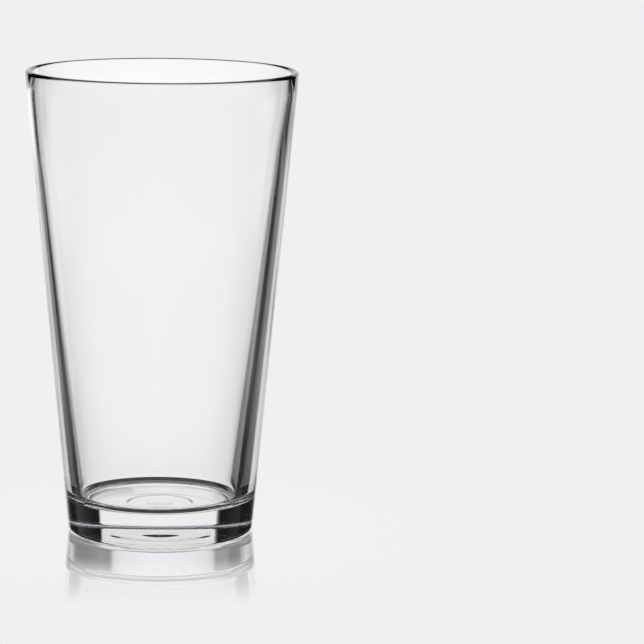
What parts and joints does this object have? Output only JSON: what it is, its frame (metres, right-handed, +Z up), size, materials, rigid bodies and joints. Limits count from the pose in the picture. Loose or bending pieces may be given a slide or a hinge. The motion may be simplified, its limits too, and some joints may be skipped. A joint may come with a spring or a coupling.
{
  "type": "pint glass",
  "caption": "Tapered clear glass tumbler with a thick base, a rounded rim and a shallow hollow under the foot, for serving drinks.",
  "frame": {"origin": "centre of the foot, on the plane of the flat bearing ring that the glass stands on", "axes": "+Z up along the axis the glass is turned about; X and Y are equal, as the glass is round"},
  "size_m": [0.0888, 0.0888, 0.1524],
  "materials": {
    "clear_glass": "clear fire-polished soda-lime glass"
  },
  "bodies": {
    "root": {"pint_glass": "clear_glass"}
  },
  "joints": []
}
